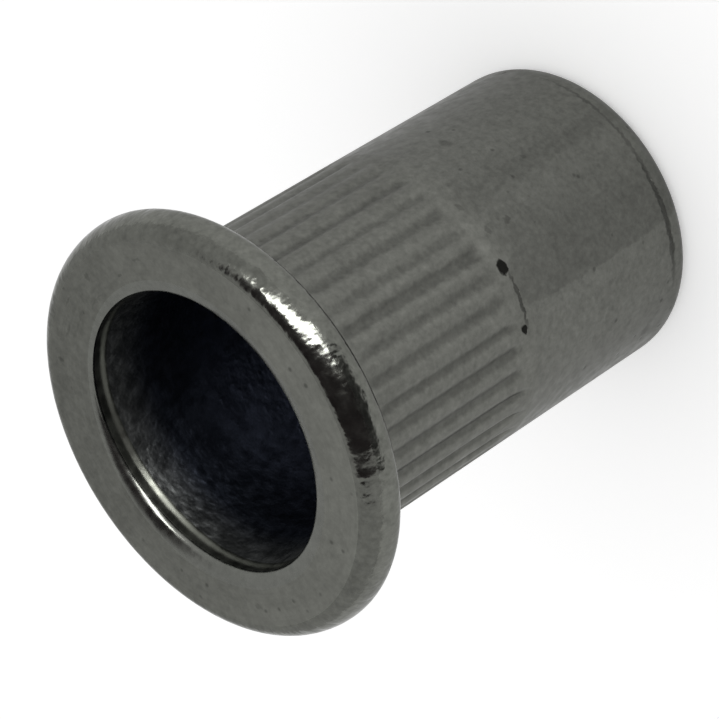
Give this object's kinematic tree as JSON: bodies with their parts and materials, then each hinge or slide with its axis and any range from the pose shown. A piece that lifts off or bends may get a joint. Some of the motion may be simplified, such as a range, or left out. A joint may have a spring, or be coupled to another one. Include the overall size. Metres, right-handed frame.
{
  "type": "rivet nut",
  "caption": "Open-end rivet nut: a flat round head with a rounded rim, a straight-knurled shank and an inside thread behind a wide folding bore.",
  "frame": {"origin": "centre of the end face of the shank, the face that the nut stands on", "axes": "+Z along the axis of the nut, from the plain end of the shank to the head"},
  "size_m": [0.015, 0.015, 0.0185],
  "materials": {
    "nut_metal": "bare satin steel, pewter grey, slightly mottled, with a smoother rim"
  },
  "bodies": {
    "root": {"nut_body": "nut_metal"}
  },
  "joints": []
}
